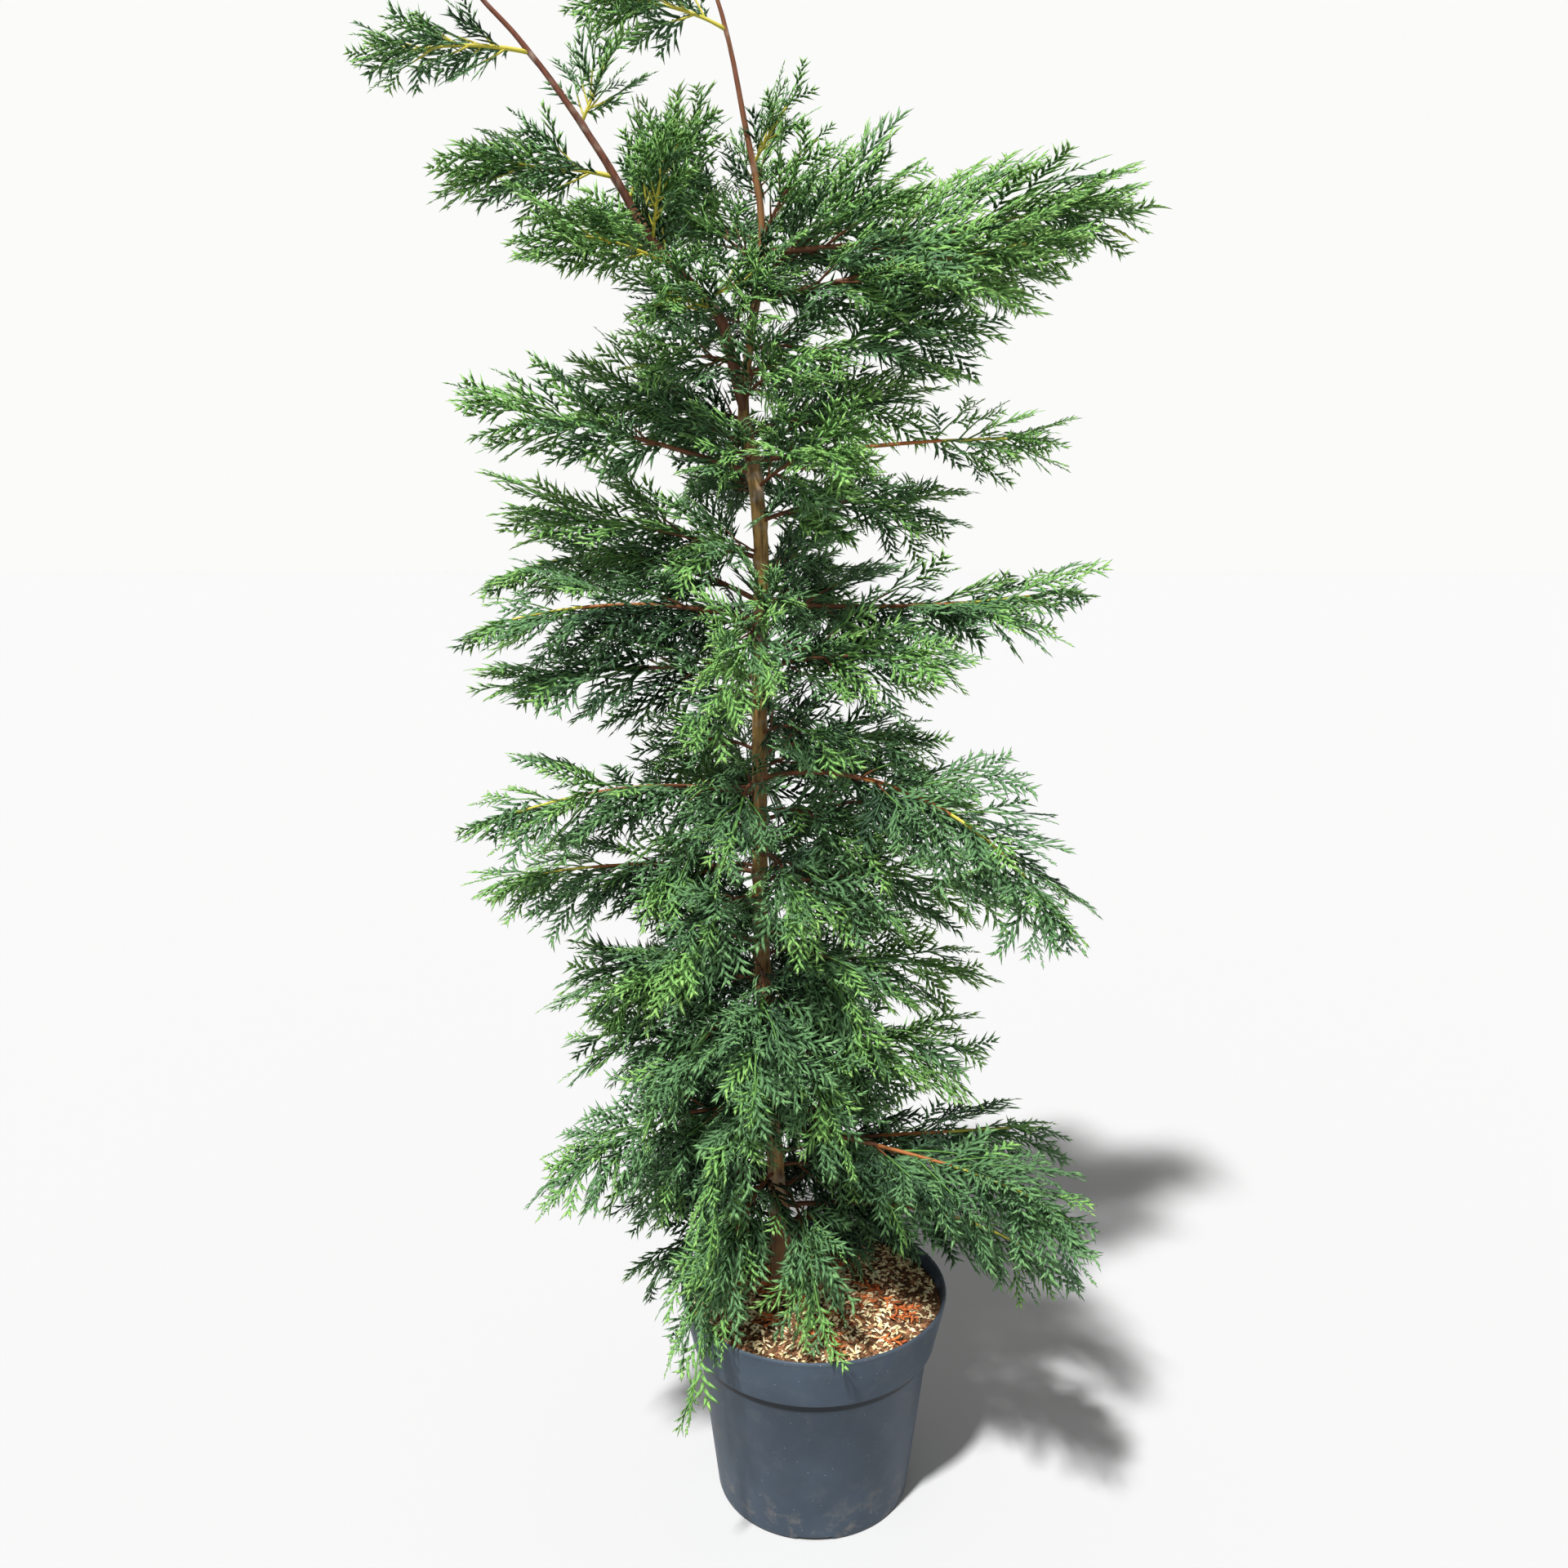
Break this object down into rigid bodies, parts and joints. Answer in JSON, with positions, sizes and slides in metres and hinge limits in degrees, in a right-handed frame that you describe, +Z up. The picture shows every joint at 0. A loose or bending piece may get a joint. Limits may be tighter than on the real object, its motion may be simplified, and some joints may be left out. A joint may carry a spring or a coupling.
{
  "type": "potted conifer tree",
  "caption": "Young upright conifer with a forked leader and feathery flat sprays of green foliage, growing in a round tapered nursery pot with a deep collar.",
  "frame": {"origin": "centre of the pot's flat underside, on the surface that it stands on", "axes": "+Z up along the pot's axis; the wide plume of foliage under the leader reaches towards +X and the forked limb towards -X, so the side seen first faces -Y"},
  "size_m": [0.9331, 0.6165, 2.1381],
  "materials": {
    "pot_plastic": "satin slate blue-grey",
    "compost": "rough dark brown",
    "trunk_bark": "matte olive brown",
    "bough_bark": "matte reddish brown",
    "foliage": "matte mid green"
  },
  "bodies": {
    "root": {"pot": "pot_plastic", "compost": "compost", "trunk": "trunk_bark", "forked_limb": "bough_bark", "bough_crown_east_foot": "bough_bark", "bough_mid_west": "bough_bark", "bough_mid_east": "bough_bark", "bough_waist_droop": "bough_bark", "bough_foot_plume": "bough_bark", "mass_leader_tip": "foliage", "mass_leader_west": "foliage", "mass_leader_east": "foliage", "mass_fork_tip": "foliage", "mass_fork_west_high": "foliage", "mass_fork_east_high": "foliage", "mass_fork_west_low": "foliage", "mass_fork_east_low": "foliage", "mass_fork_south": "foliage", "mass_crown_east_high": "foliage", "mass_crown_east_mid": "foliage", "mass_crown_east_foot": "foliage", "mass_crown_north_east": "foliage", "mass_crown_north_west": "foliage", "mass_mid_west_high": "foliage", "mass_mid_west": "foliage", "mass_mid_east": "foliage", "mass_mid_north_east": "foliage", "mass_mid_east_low": "foliage", "mass_mid_south_east": "foliage", "mass_mid_north": "foliage", "mass_upper_west_high": "foliage", "mass_upper_west_back": "foliage", "mass_upper_west": "foliage", "mass_upper_west_low": "foliage", "mass_upper_east": "foliage", "mass_upper_east_low": "foliage", "mass_upper_south": "foliage", "mass_upper_north": "foliage", "mass_waist_west": "foliage", "mass_waist_west_low": "foliage", "mass_waist_east_high": "foliage", "mass_waist_east": "foliage", "mass_waist_droop": "foliage", "mass_waist_east_low": "foliage", "mass_waist_north": "foliage", "mass_low_west": "foliage", "mass_low_west_foot": "foliage", "mass_low_east": "foliage", "mass_low_east_foot": "foliage", "mass_low_south": "foliage", "mass_low_north": "foliage", "mass_foot_west": "foliage", "mass_foot_west_low": "foliage", "mass_foot_south_west": "foliage", "mass_foot_south": "foliage", "mass_foot_plume": "foliage", "mass_foot_east": "foliage", "mass_foot_east_low": "foliage", "mass_foot_north_east": "foliage", "mass_foot_north": "foliage"}
  },
  "joints": []
}
